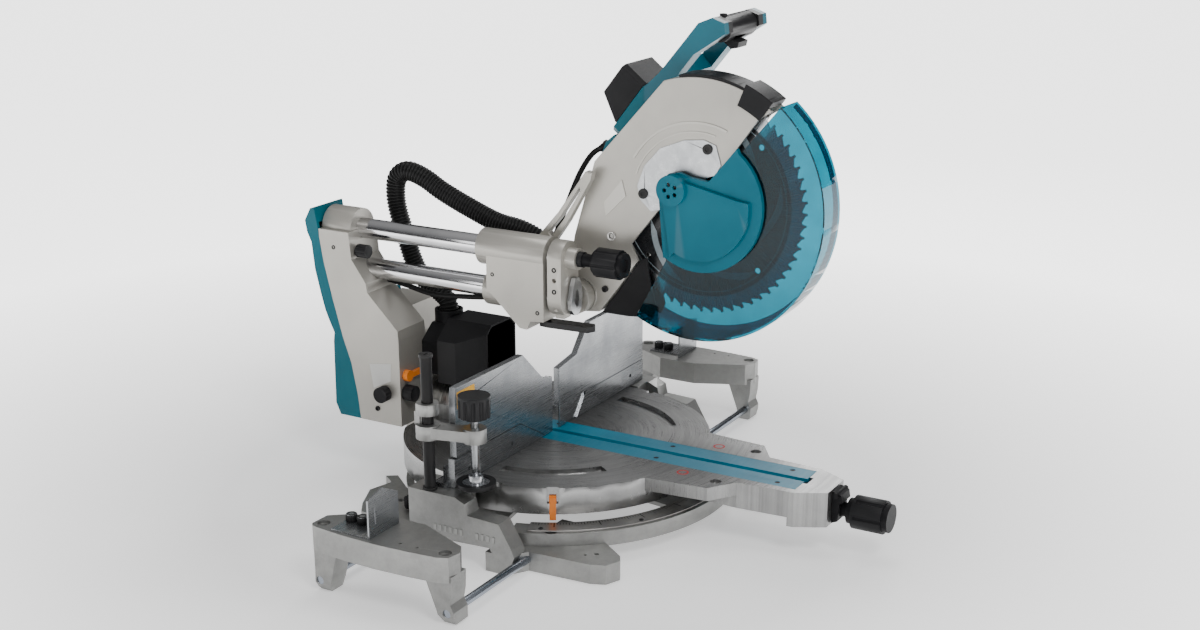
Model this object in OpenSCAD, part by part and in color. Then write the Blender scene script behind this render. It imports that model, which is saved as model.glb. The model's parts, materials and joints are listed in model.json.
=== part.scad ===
// Sliding compound miter saw, 305 mm blade class, dual bevel, front-fixed slide rails.
// Units are millimetres. +X is the operator's right, +Y points to the rear, +Z is up.
// The origin is on the bench under the turntable axis, centred in the four bench bolt holes.
// Rest state: miter 0, bevel 0, carriage fully forward, head raised, guard closed,
// both extension bases pulled out.

/* [Table] */
// height of the table surface above the bench
table_z = 97; // [90:0.5:105]
// radius of the turntable disc
table_r = 228; // [200:1:240]
// half width of the recess for the kerf boards
kerf_w = 38.5; // [30:0.5:45]

/* [Blade] */
// radius of the saw blade
blade_r = 152.5; // [127:0.5:155]
// number of teeth on the blade
teeth = 60; // [24:2:96]
// thickness of the blade body
blade_t = 2; // [1.4:0.1:3]
// height of the spindle with the head raised
spindle_z = 468; // [440:1:500]
// distance of the spindle in front of the turntable axis
spindle_y = -235; // [-260:1:-200]

/* [Slide] */
// radius of the two slide rails
rail_r = 15; // [10:0.5:18]
// offset of the rails to the left of the blade
rail_x = -68; // [-90:1:-50]
// height of the upper rail
rail_top = 385; // [360:1:400]
// height of the lower rail
rail_low = 326; // [300:1:340]

/* [Extension bases] */
// distance of the bolt line of each extension base from the centre
ext_x = 447; // [360:1:447]
// radius of the extension rods
rod_r = 6; // [4:0.5:8]

/* [Display] */
// which piece is drawn

/* [Hidden] */
$fn = 64;
e = 0.01;
hy = -55;
hz = 320;
rod_front = -111;
rod_rear = 90;
rod_z = 16.7;
silver = [0.78, 0.77, 0.73];
alu = [0.72, 0.73, 0.75];
teal = [0.0, 0.42, 0.52];
black = [0.08, 0.08, 0.09];
steel = [0.6, 0.62, 0.65];
orange = [0.93, 0.42, 0.08];
clear = [0.1, 0.55, 0.65, 0.45];

// ---------- helpers ----------
module bx(x0, x1, y0, y1, z0, z1) translate([x0, y0, z0]) cube([x1 - x0, y1 - y0, z1 - z0]);
module cx(y, z, r, x0, x1) translate([x0, y, z]) rotate([0, 90, 0]) cylinder(r = r, h = x1 - x0);
module cy(x, z, r, y0, y1) translate([x, y0, z]) rotate([-90, 0, 0]) cylinder(r = r, h = y1 - y0);
module cz(x, y, r, z0, z1) translate([x, y, z0]) cylinder(r = r, h = z1 - z0);
// outline in the Y-Z plane, drawn from x0 to x1
module yz(x0, x1, p) translate([x0, 0, 0]) rotate([90, 0, 90]) linear_extrude(x1 - x0) polygon(p);
// outline in the X-Z plane, drawn from y0 to y1
module xz(y0, y1, p) translate([0, y1, 0]) rotate([90, 0, 0]) linear_extrude(y1 - y0) polygon(p);
// outline in plan, drawn from z0 to z1
module xy(z0, z1, p) translate([0, 0, z0]) linear_extrude(z1 - z0) polygon(p);
module ring(ro, ri, z0, z1) difference() { cz(0, 0, ro, z0, z1); cz(0, 0, ri, z0 - 1, z1 + 1); }
module both() { children(); mirror([1, 0, 0]) children(); }
// plan sector from angle a to b
function sector(a, b, r, n = 8) = concat([[0, 0]], [for (i = [0 : n]) let (t = a + (b - a) * i / n)
  [r * cos(t), r * sin(t)]]);
// point of the blade circle family: f degrees up from the front of the spindle
function gp(f, r) = [spindle_y - r * cos(f), spindle_z + r * sin(f)];
function garc(a, b, r, n = 24) = [for (i = [0 : n]) gp(a + (b - a) * i / n, r)];

// ---------- base ----------
module base_side() {
  bx(-264, -234, -10, 62, 30, table_z);
  yz(-292, -263, [[62, 97], [-14, 97], [-30, 90], [-34, 74], [-84, 72], [-104, 38], [-108, 28],
    [-100, 6], [-90, 8], [-68, 34], [5, 31], [43, 26], [62, 26]]);
  difference() {
    xy(0, 28, [[-292, -62], [-292, -96], [-264, -114], [-259, -206], [-251, -226], [-229, -235],
      [-215, -228], [-186, -188], [-200, -150], [-232, -110], [-240, -62]]);
    xy(-1, 21, [[-254, -130], [-252, -205], [-246, -220], [-229, -228], [-219, -222], [-198, -190],
      [-212, -160], [-240, -136]]);
  }
  cz(-225, -125, 12, 0, 28);
  difference() {
    xy(0, 40, [[-292, 40], [-286, 150], [-262, 166], [-215, 188], [-176, 178], [-160, 200],
      [-150, 185], [-205, 118], [-238, 40]]);
    xy(-1, 33, [[-280, 104], [-277, 146], [-258, 158], [-248, 162], [-240, 104]]);
  }
  // inner guides of the extension rods
  for (y = [rod_front, rod_rear]) {
    bx(-170, -150, y - 13, y + 13, 4, 26);
    bx(-196, -150, y - 13, y + 13, 24, 30);
  }
}
module base_casting() color(silver) difference() {
  union() {
    difference() {
      union() {
        cz(0, 0, 226, 24, 46);
        translate([0, 0, 24]) linear_extrude(22) intersection() {
          circle(r = 267, $fn = 180);
          polygon(sector(197, 343, 300, 16));
        }
      }
      cz(0, 0, 234, 30, 47);
      for (a = [45 : 90 : 315]) rotate(a) translate([0, 0, 20]) linear_extrude(12)
        difference() { polygon(sector(-36, 36, 215)); circle(r = 70); }
    }
    difference() { cz(0, 0, 52, 24, 56); cz(0, 0, 12, 20, 60); }
    both() base_side();
  }
  for (sx = [-1, 1]) for (y = [rod_front, rod_rear])
    cx(y, rod_z, rod_r + 0.05, sx > 0 ? 140 : -300, sx > 0 ? 300 : -140);
  for (sx = [-1, 1]) {
    for (y = [-125, 125]) cz(sx * 225, y, 5.5, -1, 60);
    cz(sx * 225, -125, 9.5, 22, 60);
    cz(sx * 235, -185, 2.5, -1, 60);
    cz(sx * 225, -197, 3.5, -1, 60);
    cz(sx * 243, rod_rear, 4.05, 20, 60);
  }
  // seat of the vise post
  cz(-282, 32, 8.05, 50, 110);
  // hand recess under each side
  for (sx = [-1, 1]) bx(sx > 0 ? 267 : -284, sx > 0 ? 284 : -267, -60, 4, 30, 60);
}
module miter_scale() color(alu) difference() {
  translate([0, 0, 46]) linear_extrude(2.5) difference() {
    intersection() { circle(r = 262, $fn = 180); polygon(sector(202, 338, 300, 16)); }
    circle(r = 233, $fn = 180);
  }
  for (a = [206, 238, 270, 302, 334]) rotate(a) cz(255, 0, 2.2, 40, 60);
}
module lower_fence() color(alu) {
  difference() {
    union() {
      xz(2, 12, [[-266, 97.4], [-32, 97.4], [-32, 99], [-97, 137], [-266, 139]]);
      xz(2, 12, [[272, 97.4], [32, 97.4], [32, 99], [58, 131], [272, 131]]);
      // bracing webs and the foot along the back
      both() bx(-272, -100, 12, 34, 97.4, 104);
      both() bx(-110, -58, 12, 62, 97.4, 110);
      // bridge behind the blade opening
      xy(97.4, 110, [[-110, 48], [-60, 62], [60, 62], [110, 48], [110, 60], [62, 82], [-62, 82],
        [-110, 60]]);
      both() for (x = [-262, -190, -120]) bx(x - 3, x + 3, 12, 22, 104, 126);
    }
    // shallow step for the inner lip of the right upper fence
    xz(1, 5, [[90, 132], [62, 97.3], [20, 97.3], [20, 132]]);
    both() for (x = [-250, -160]) cz(x, 24, 4, 90, 120);
    both() for (x = [-230, -120]) cy(x, 115, 3, 0, 20);
  }
}
module upper_fence_left() color(alu) {
  difference() {
    xz(2, 12, [[-261, 139.5], [-97, 137.6], [-31.5, 99.6], [-31.5, 97.8], [-9, 97.8], [-9, 184],
      [-35, 190], [-88, 239], [-258, 240], [-261, 225]]);
    cy(-246, 214, 3.5, 0, 20);
  }
  bx(-250, -120, 12, 17, 142, 156);
}
module upper_fence_right() color(alu) {
  xz(2, 12, [[272, 131.6], [11, 131.6], [11, 190], [62, 198], [92, 232], [104, 239], [268, 240],
    [272, 230]]);
  xz(2, 4.7, [[57.2, 131.7], [31.3, 99.7], [31.3, 97.8], [11, 97.8], [11, 131.7]]);
  bx(120, 250, 12, 17, 142, 156);
}
// clamp screw with a lever knob behind each fence
module fence_clamp() color(black) {
  cy(-195, 149, 4, 17.2, 24);
  cy(-195, 149, 11, 24, 34);
  bx(-199, -191, 25, 33, 118, 149);
}
module fence_clamp_left() fence_clamp();
module fence_clamp_right() mirror([1, 0, 0]) fence_clamp();

// ---------- extension bases ----------
module sub_base() color(silver) difference() {
  union() {
    // top rail with the bulge towards the table
    xy(62, 97, [[-460, 94], [-455, 98], [-425, 97], [-410, 78], [-386, 30], [-386, -34],
      [-404, -74], [-420, -112], [-438, -122], [-458, -118], [-464, -104], [-468, -60], [-470, -10],
      [-468, 40], [-463, 84]]);
    for (p = [[[97, 70], [97, 30], [98, 4], [96, 0], [78, 0], [72, 16], [58, 70]],
        [[-121, 70], [-120, 46], [-117, 30], [-122, 20], [-122, 3], [-118, 0], [-101, 0], [-96, 18],
        [-76, 70]]]) difference() {
      yz(-456, -424, p);
      // the feet draw in towards the bench
      xz(-140, 140, [[-470, -5], [-443, -5], [-456.5, 14], [-470, 14]]);
    }
  }
  // hollow underside
  xy(50, 91, [[-459, 60], [-436, 62], [-416, 58], [-392, 26], [-392, -30], [-410, -62],
    [-440, -74], [-460, -72], [-464, 0]]);
  for (y = [85, -106]) cz(-ext_x, y, 5.5, 77, 110);
  for (y = [85, -106]) cz(-ext_x, y, 8.5, 93, 110);
  for (y = [-40, -66]) cz(-451, y, 2.2, 80, 110);
  // cast bolt holes under the legs
  for (y = [rod_front, rod_rear]) cx(y, rod_z, rod_r, -470, -410);
}
module sub_base_left() sub_base();
module sub_base_right() mirror([1, 0, 0]) sub_base();
module rods() color(steel) for (y = [rod_front, rod_rear]) cx(y, rod_z, rod_r, -454, -160);
module extension_rods_left() rods();
module extension_rods_right() mirror([1, 0, 0]) rods();
// bent stop plate in line with the fence, held by two screws on the top of the extension base
module sub_fence() {
  color(alu) difference() {
    union() {
      xz(0, 2.5, [[-462, 97], [-398, 97], [-398, 142], [-430, 158], [-462, 150]]);
      bx(-462, -410, 2.5, 62, 97, 99.5);
    }
    xz(-1, 4, [[-449, 112], [-447, 112], [-447, 136], [-449, 136]]);
    for (y = [38, 64]) cz(-428, y, 3, 90, 110);
  }
  color(black) for (y = [36, 54]) { cz(-428, y, 7, 99.5, 110); }
}
module sub_fence_left() sub_fence();
module sub_fence_right() mirror([1, 0, 0]) sub_fence();
module rod_knob() color(black) {
  cz(-243, rod_rear, 4, 24, 44);
  difference() {
    cz(-243, rod_rear, 13, 44, 58);
    for (a = [0 : 45 : 315]) translate([-243, rod_rear, 40]) rotate(a) translate([14.5, 0, 0])
      cylinder(r = 3, h = 22);
  }
}
module rod_knob_left() rod_knob();
module rod_knob_right() mirror([1, 0, 0]) rod_knob();

// ---------- vise ----------
module vise_post() color(black) difference() {
  union() { cz(-282, 32, 8, 52, 290); cz(-282, 32, 10, 97.3, 101); cz(-282, 32, 9.5, 286, 290); }
  translate([-282, 32, 288]) cube([9, 2, 6], center = true);
}
module vise_arm() color(alu) difference() {
  union() {
    cz(-282, 32, 17, 172, 192);
    cz(-265, -32, 16, 172, 192);
    xy(175, 190, [[-296, 30], [-268, 36], [-263.5, 12], [-263.5, 2], [-250, -30], [-281, -34]]);
    cz(-282, 32, 15, 206, 222);
    bx(-290, -267, 40, 46, 176, 220);
    bx(-288, -276, 38, 50, 190, 208);
  }
  cz(-282, 32, 8.08, 150, 240);
  cz(-265, -32, 6.1, 150, 240);
}
module vise_screw() {
  color(steel) { cz(-265, -32, 6, 118, 204); }
  color(black) difference() {
    union() { cz(-265, -32, 22, 208, 238); cz(-265, -32, 13, 204, 208); }
    for (a = [0 : 30 : 330]) translate([-265, -32, 200]) rotate(a) translate([23.5, 0, 0])
      cylinder(r = 3.4, h = 34);
  }
}
module vise_pad() {
  color(black) difference() { cz(-265, -32, 27, 109, 115); cz(-265, -32, 19, 112, 120);
    cz(-265, -32, 4, 100, 120); }
  color(steel) difference() {
    union() { cz(-265, -32, 18.5, 112.2, 114); cz(-265, -32, 10, 114, 124); }
    cz(-265, -32, 6.3, 117.5, 130);
  }
}

// ---------- turntable ----------
arm_plan = [[103, -195], [94, -296], [55, -322], [50, -405], [28, -446], [-28, -446], [-50, -405],
  [-55, -322], [-94, -296], [-103, -195]];
module turntable() color(alu) difference() {
  union() {
    cz(0, 0, table_r, 87, table_z, $fn = 180);
    difference() { cz(0, 0, table_r, 58, 90, $fn = 180); cz(0, 0, table_r - 8, 50, 92, $fn = 180); }
    cz(0, 0, 45, 56.3, 90);
    xy(87, table_z, arm_plan);
    difference() {
      union() {
        xy(59, 90, [[52, -200], [52, -276], [55, -322], [50, -405], [-50, -405], [-55, -322],
          [-52, -276], [-52, -200]]);
        xy(46, 90, [[50.5, -396], [50, -405], [28, -446], [-28, -446], [-50, -405], [-50.5, -396]]);
      }
      xy(40, 87, [[45, -190], [45, -276], [48, -322], [43, -403], [24, -436], [-24, -436],
        [-43, -403], [-48, -322], [-45, -276], [-45, -190]]);
    }
    // flared skirt
    difference() {
      xy(78, 90, arm_plan);
      xy(70, 87, [[97, -180], [88, -291], [50, -316], [-50, -316], [-88, -291], [-97, -180]]);
    }
    // grip boss under the front end
    bx(-20, 20, -446, -430, 50, 88);
    // rear upright that carries the bevel pivot
    intersection() { cy(0, table_z, 52, 158, 204); bx(-46, 46, 140, 210, 52, 160); }
    bx(-46, 46, 90, 160, 60, 90);
    cy(0, table_z, 14, 204, 224);
  }
  // flat behind the table, facing the bevel arm
  difference() { bx(-130, 130, 204.5, 250, 40, 110); cy(0, table_z, 14, 200, 224); }
  // kerf boards' recess and the blade channel
  bx(-kerf_w, kerf_w, -402, 30, 92, 98);
  bx(-12, 12, -408, 64, 84, 98);
  bx(-12, 12, -380, -50, 60, 88);
  // curved finger grooves
  for (s = [[184, 234], [306, 356]]) translate([0, 0, 91]) linear_extrude(8) intersection() {
    difference() { circle(r = 180, $fn = 180); circle(r = 160, $fn = 180); }
    polygon(sector(s[0], s[1], 240));
  }
  difference() { cz(0, 0, 90, 96.4, 98); cz(0, 0, 88.5, 96, 99); }
  for (sx = [-1, 1]) { cz(sx * 66, -295, 8, 92, 99); cz(sx * 66, -295, 3.5, 80, 99); }
  for (sx = [-1, 1]) cz(sx * 225 * cos(10), -225 * sin(10), 6, 94, 99);
  // pocket for the pointer
  rotate(209.5) translate([224, -8, 74]) cube([8, 16, 30]);
  cz(0, 0, 12, 40, 80);
  for (x = [-26, 26]) for (y = [12, -181, -370]) cz(x, y, 2.05, 88, 93);
  cy(0, 66, 5.05, -460, -420);
}
module kerf_boards() color(teal) both() difference() {
  bx(5, kerf_w - 0.2, -401.5, 29.5, 92, table_z);
  for (y = [12, -181, -370]) cz(26, y, 4, 94.5, 98);
  for (y = [12, -181, -370]) cz(26, y, 2.05, 90, 98);
}
module kerf_screws() color(black) both() for (y = [12, -181, -370]) difference() {
  union() { cz(26, y, 3.8, 94.5, 96.6); cz(26, y, 1.95, 89, 95); }
  translate([26, y, 96.6]) cube([5, 0.9, 1.6], center = true);
}
module miter_pointer() color(orange) rotate(209.5) {
  difference() {
    translate([table_r - 3.8, -5, 74]) cube([3.8, 10, 11]);
    translate([table_r - 6, 0, 80]) rotate([0, 90, 0]) cylinder(r = 2, h = 12);
  }
  translate([table_r, -4.5, 50]) cube([1.6, 9, 33]);
}
// turning grip that locks the miter angle
module miter_grip() {
  color(steel) cy(0, 66, 5, -452, -430.5);
  color(black) difference() {
    union() {
      cy(0, 66, 10, -468, -452);
      cy(0, 66, 18, -476, -468);
      cy(0, 66, 23.5, -520, -476);
      cy(0, 66, 20, -528, -520);
    }
    for (a = [0 : 60 : 300]) translate([0, -530, 66]) rotate([0, a, 0]) translate([25.5, 0, 0])
      rotate([-90, 0, 0]) cylinder(r = 3.5, h = 50);
  }
}
// thumb lever at the end of the arm that frees the miter stops
module miter_lock_lever() color(black) {
  difference() {
    union() { yz(-15, 15, [[-447, 95], [-460, 91], [-462, 80], [-458, 78], [-456, 52], [-447, 48]]);
      cx(-453, 90, 4, -19, 19); }
    cy(0, 66, 11, -470, -440);
  }
}

// ---------- bevel arm ----------
module bevel_arm() color(silver) difference() {
  union() {
    // tall part around the rails
    yz(-106, -38, [[207, 98], [207, 232], [208, 247], [260, 298], [262, 312], [286, 345],
      [290, 385], [344, 385], [343.8, 373], [338, 336], [325, 281], [309, 222], [296, 185], [287, 137],
      [283, 100], [281, 98]]);
    cy(rail_x, rail_top, 29, 292, 344);
    cy(rail_x, rail_low, 22, 288, 312);
    // broad foot on the bevel axis
    yz(-38.01, 60, [[207, 88], [207, 222], [248, 258], [318, 258], [309, 222], [296, 185],
      [287, 137], [283, 100], [273, 88]]);
    cy(0, table_z, 54, 205.5, 240);
  }
  // hollow closed by the rear cover
  yz(-98, 52, [[218, 106], [218, 218], [252, 248], [340, 248], [320, 150], [300, 106]]);
  yz(-98, -46, [[252, 230], [276, 300], [336, 300], [320, 230]]);
  cy(rail_x, rail_top, rail_r + 0.02, 250, 338);
  cy(rail_x, rail_low, rail_r + 0.02, 250, 310);
  cy(0, table_z, 14.05, 200, 260);
  cy(-93, 357, 3.05, 270, 310);
  // duct from the hood to the rear port
  cy(0, 205, 18, 200, 250);
  cx(235, 147, 4.05, -110, -90);
  cy(-92, 149, 4.05, 200, 230);
  cy(-92, 176, 3.05, 200, 230);
  cy(-50, 306, 5, 250, 300);
}
module arm_rear_cover() color(teal) difference() {
  union() {
    difference() {
      union() {
        yz(-106, 58, [[282, 98.4], [283.3, 100], [287.3, 137], [296.3, 185], [309.3, 222],
          [320.3, 262], [340, 262], [334, 247], [325, 228], [327, 214], [329, 116], [321, 98.4]]);
        yz(-106, -38, [[320.3, 262], [325.3, 281], [338.3, 336], [344.3, 373], [345.3, 386],
          [351, 416], [358, 414], [369, 395], [366, 378], [359, 363], [355, 322], [346, 284],
          [340, 262]]);
      }
      yz(-101, 53, [[278, 106], [282, 110], [286, 140], [295, 188], [308, 224], [318, 257],
        [333, 257], [320, 230], [322, 214], [324, 118], [317, 103], [278, 103]]);
      yz(-101, -43, [[318, 256], [324, 283], [337, 337], [343, 374], [344, 386], [352, 408],
        [356, 406], [363, 394], [361, 380], [354, 365], [350, 323], [340, 285], [333, 256]]);
    }
    // collar of the exhaust port
    cy(0, 205, 23, 320, 345);
  }
  // exhaust port for an extractor
  cy(0, 205, 20, 300, 350);
}
module dust_hood() color(black) difference() {
  union() {
    intersection() {
      xz(96, 172, [[-60, 160], [-60, 224], [-26, 252], [26, 252], [60, 224], [60, 160]]);
      // front corners are cut back to clear the fences at full miter
      xy(150, 260, [[-40, 96], [40, 96], [58, 140], [58, 180], [-58, 180], [-58, 140]]);
    }
    xz(171.9, 206.5, [[-48, 168], [-48, 218], [-20, 240], [20, 240], [48, 218], [48, 168]]);
    cz(2, 190, 21.5, 229, 258);
  }
  intersection() {
    xz(80, 168, [[-57, 163], [-57, 222.5], [-24.8, 249], [24.8, 249], [57, 222.5], [57, 163]]);
    xy(150, 260, [[-36, 80], [36, 80], [36, 96], [55, 141], [55, 180], [-55, 180], [-55, 141],
      [-36, 96]]);
  }
  cy(0, 205, 18, 160, 210);
  cz(2, 190, 18, 222, 270);
}
module slide_rails() color(steel) {
  difference() { cy(rail_x, rail_top, rail_r, -62, 336); cy(rail_x, rail_top, rail_r - 4, -90, 340); }
  difference() { cy(rail_x, rail_low, rail_r, -62, 308); cy(rail_x, rail_low, rail_r - 4, -90, 310); }
}
module rail_end_plate() color(silver) difference() {
  union() {
    cy(rail_x, rail_top, 24, -64, -42);
    cy(rail_x, rail_low, 24, -64, -42);
    bx(rail_x - 24, rail_x + 24, -64, -42, rail_low, rail_top);
    difference() { cy(rail_x, rail_top, 15, -80, -64); cy(rail_x, rail_top, 11, -90, -60); }
    bx(rail_x - 9, rail_x + 9, -60, -46, 298, 306);
  }
  cy(rail_x, rail_top, rail_r + 0.02, -62, -40);
  cy(rail_x, rail_low, rail_r + 0.02, -62, -40);
  cy(rail_x, rail_top, 11.05, -90, -40);
  cx(-53, 356, 3.4, -120, -86);
  cx(-53, 312, 3, -120, -86);
  cy(-60, 347, 4.05, -66, -50);
}
// grip that locks the bevel angle
module pole_grip() {
  color(steel) cy(rail_x, rail_top, 10.9, -88, -20);
  color(black) difference() {
    union() {
      cy(rail_x, rail_top, 9, -106, -88);
      cy(rail_x, rail_top, 17, -110, -106);
      cy(rail_x, rail_top, 20.5, -146, -110);
      cy(rail_x, rail_top, 17, -152, -146);
    }
    for (a = [0 : 60 : 300]) translate([rail_x, -154, rail_top]) rotate([0, a, 0])
      translate([22, 0, 0]) rotate([-90, 0, 0]) cylinder(r = 3, h = 46);
    cy(rail_x, rail_top, 9, -153, -149);
  }
}
// hooked latch that releases the bevel stops
module latch_lever() color(steel) {
  difference() {
    xz(-73, -66, [[-78, 326], [-72, 346], [-66, 356], [-57, 356], [-50, 344], [-48, 326], [-52, 310],
      [-60, 302], [-70, 304], [-77, 312]]);
    xz(-80, -60, [[-70, 324], [-66, 338], [-60, 340], [-57, 326], [-59, 316], [-64, 313]]);
  }
  cy(-60, 347, 4, -68, -56);
}
module slide_lock_knob() color(black) {
  cy(-93, 357, 3, 270, 308);
  difference() {
    cy(-93, 357, 10, 264, 282);
    for (a = [0 : 45 : 315]) translate([-93, 260, 357]) rotate([0, a, 0]) translate([11.6, 0, 0])
      rotate([-90, 0, 0]) cylinder(r = 2.2, h = 30);
  }
}
module bevel_stop_lever() color(orange) {
  cy(-92, 176, 3, 200, 226);
  cy(-92, 176, 8.5, 198, 206.6);
  bx(-84, -62, 198, 204, 172, 180);
}
module bevel_knob_rear() color(black) { cx(235, 147, 4, -106, -92); cx(235, 147, 12, -120, -106.4); }
module bevel_knob_front() color(black) { cy(-92, 149, 4, 204, 226); cy(-92, 149, 12, 190, 206.6); }

// ---------- carriage ----------
module carriage() color(silver) difference() {
  union() {
    cy(rail_x, rail_top, 26, -36, 76);
    cy(rail_x, rail_low, 25, -36, 66);
    yz(-93, -43, [[58, 385], [58, 330], [44, 318], [4, 280], [-8, 279], [-14, 292], [-36, 294],
      [-36, 385]]);
    // bridge to the head hinge
    bx(-44, 46, -12, 34, 296, 344);
    for (x = [[-42, -24], [26, 44]]) {
      cx(hy, hz, 24, x[0], x[1]);
      yz(x[0], x[1], [[hy, hz - 24], [-2, 296], [-2, 344], [hy, hz + 24]]);
    }
    cz(8, 12, 21, 340, 352);
  }
  cy(rail_x, rail_top, rail_r + 0.06, -50, 80);
  cy(rail_x, rail_low, rail_r + 0.06, -50, 80);
  cx(hy, hz, 10, -60, 60);
  // ribbed pockets under the lower barrel
  for (y = [6, 22]) yz(-87, -49, [[y, 270], [y + 11, 284], [y + 11, 296], [y, 292]]);
  cz(8, 12, 17, 326, 360);
  bx(-30, 34, -8, 26, 290, 326);
  cz(-62, -26, 4.05, 280, 310);
  cz(-20, 2, 5, 330, 350);
  cy(-34, 316, 4.6, 26, 40);
}
module carry_handle() color(silver) difference() {
  yz(-41, -29, [[10, 344], [10, 388], [2, 404], [-30, 440], [-74, 502], [-84, 500], [-82, 490],
    [-46, 428], [-22, 394], [-14, 380], [-14, 344]]);
  yz(-45, -26, [[-14, 410], [-32, 431], [-64, 478], [-66, 474], [-38, 430], [-18, 404]]);
}
module hinge_pin() color(steel) cx(hy, hz, 9.95, -43.5, 48);
// swinging stop for shallow cuts
module depth_stop_arm() color(black) {
  cz(-62, -26, 4, 280, 306);
  xy(280, 288, [[-71, -16], [-73, -30], [-68, -92], [-56, -98], [-46, -92], [-51, -30], [-53, -16]]);
}

// ---------- head ----------
case_edge = concat(garc(52, 108, 171), [[-76, 512], [-44, 405], [-38, 372], [-40, 330]],
  [[-62, 296], [-84, 298], [-112, 334], [-145, 380], [-134, 402], [-176, 454], [-273, 524],
  [-322, 592]]);
module blade_case() color(silver) difference() {
  union() {
    yz(-20, 22, case_edge);
    cx(spindle_y, spindle_z, 62, 16, 22);
    cx(hy, hz, 25, -22, 24);
  }
  // blade chamber, open towards the front
  cx(spindle_y, spindle_z, 155, -15, 16);
  yz(-15, 16, [[-150, 441], [-176, 440], [-300, 430], [-400, 620], [-300, 640], [-120, 560]]);
  cx(hy, hz, 10, -30, 30);
  cx(spindle_y, spindle_z, 19, -30, 15.9);
  cx(spindle_y, spindle_z, 14, 10, 30);
}
module case_trim() color(black) {
  // lip along the top edge and the block at the front end
  yz(-20, 22, concat(garc(68, 100, 175), garc(100, 68, 171.3)));
  yz(-22, -20, concat(garc(54, 68, 181), garc(68, 54, 150)));
  yz(-20, 22, concat(garc(54, 68, 181), garc(68, 54, 171.3)));
}
plate_bolts = [[-250, 546], [-154, 476]];
module guard_plate() color(steel) difference() {
  yz(-21.6, -20, [[-144, 486], [-149, 467], [-166, 452], [-200, 462], [-208, 490], [-235, 502],
    [-262, 512], [-270, 526], [-262, 552], [-244, 558], [-215, 555], [-179, 541], [-155, 515]]);
  for (p = plate_bolts) cx(p[0], p[1], 3, -30, 0);
}
module case_bolts() color(black) {
  for (p = plate_bolts) {
    difference() { cx(p[0], p[1], 7, -23.7, -21.6); cx(p[0], p[1], 3, -28, -22.7); }
    cx(p[0], p[1], 2.9, -21.7, -20);
  }
}
module dust_nozzle() color(black) difference() {
  yz(-14, 15, [[-85, 296], [-112.8, 333.2], [-146, 380], [-157, 384], [-160, 360], [-172, 314],
    [-166, 300], [-128, 296]]);
  // chute between the side walls, and room for the blade
  yz(-11, 12, [[-96, 280], [-116, 332], [-124, 346], [-200, 400], [-200, 280]]);
  cx(spindle_y, spindle_z, 158, -11, 12);
  // notch for the rim of the lower guard
  yz(-15, 16, concat(garc(-119.5, -95, 190, 8), garc(-95, -119.5, 183, 8)));
}
module gear_case() color(teal) difference() {
  union() {
    cx(spindle_y, spindle_z, 60, 22, 92);
    yz(30, 92, [[-235, 528], [-212, 592], [-158, 606], [-66, 530], [-60, 514], [-112, 458],
      [-160, 410], [-200, 420]]);
  }
  cx(spindle_y, spindle_z, 52, 27, 84);
  cx(spindle_y, spindle_z, 14, 20, 30);
  cx(spindle_y, spindle_z, 12.7, 80, 88);
  // passage for the motor shaft
  mframe() cylinder(r = 14, h = 172);
  mframe() translate([0, 0, 96]) linear_extrude(90) translate([-50, -50]) square([110, 88.3]);
}
// the motor axis leans 38 degrees up from level, towards the rear
module mframe() translate([76, spindle_y, spindle_z]) rotate([-51.9, 0, 0]) children();
// outline of the motor in its own frame, drawn along the axis from a to b
module mbox(a, b, g = 0) mframe() translate([0, 0, a]) linear_extrude(b - a) polygon(
  [[-46 + g, -44 + g], [-38 + g, -48 + g], [36 - g, -48 + g], [48 - g, -36 + g], [48 - g, 26 - g],
  [36 - g, 38 - g], [-38 + g, 38 - g], [-46 + g, 30 - g]]);
module motor_housing() color(teal) difference() {
  mbox(96.3, 176);
  mbox(100, 180, 4);
  mframe() cylinder(r = 14, h = 120);
}
module motor_cap() color(black) difference() {
  mbox(176.2, 217);
  mbox(170, 212, 4);
  // lower rear corner is cut away
  translate([20, 0, 0]) rotate([90, 0, 90]) linear_extrude(120)
    polygon([[-59, 606], [-20, 600], [-20, 480], [-110, 520], [-80, 560]]);
  for (i = [-3 : 3]) mframe() translate([i * 11 - 2, -38, 205]) cube([4, 46, 20]);
}
// two arms from the gear case and the cross grip
module handle() {
  color(teal) difference() {
    for (x = [[27, 52], [134, 160]]) yz(x[0], x[1], [[-128, 590], [-160, 608.5], [-202, 660],
      [-248, 690], [-246, 704], [-228, 710], [-208, 702], [-190, 680], [-150, 632], [-128, 612]]);
    mbox(90, 220, -0.4);
  }
  color(teal) yz(51.9, 134.1, [[-140, 614], [-163, 612], [-178, 629], [-162, 646], [-146, 628]]);
  color(black) difference() {
    cx(-228, 692, 17, 51.9, 134.1);
    bx(72, 106, -254, -218, 674, 682);
    bx(72, 106, -254, -218, 660, 676);
    cz(62, -228, 5.3, 698, 712);
  }
}
module trigger() color(black) yz(74, 104, [[-236, 677], [-222, 677], [-222, 674], [-234, 664],
  [-244, 666], [-246, 674]]);
module lock_off_button() color(black) cz(62, -228, 5, 701, 712);
module lower_guard() color(clear) difference() {
  union() {
    // rim, left wall and the narrow right flange of the guard
    difference() {
      yz(-26.5, 25.5, concat(garc(-118, 50, 187, 60), garc(50, -118, 80, 60)));
      yz(-24, 40, concat(garc(-120, 52, 184, 60), garc(52, -120, 70, 60)));
    }
    yz(23, 25.4, concat(garc(-117.5, 49.5, 185.5, 58), garc(49.5, -117.5, 177, 58)));
  }
}
dcover = [[-192, 394], [-184, 478], [-187, 498], [-198, 510], [-214, 513], [-230, 508], [-258, 505],
  [-298, 553]];
function darc(a, b, r) = [for (i = [0 : 24]) let (t = a + (b - a) * i / 24)
  [-244 - r * cos(t), 473 + r * sin(t)]];
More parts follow.
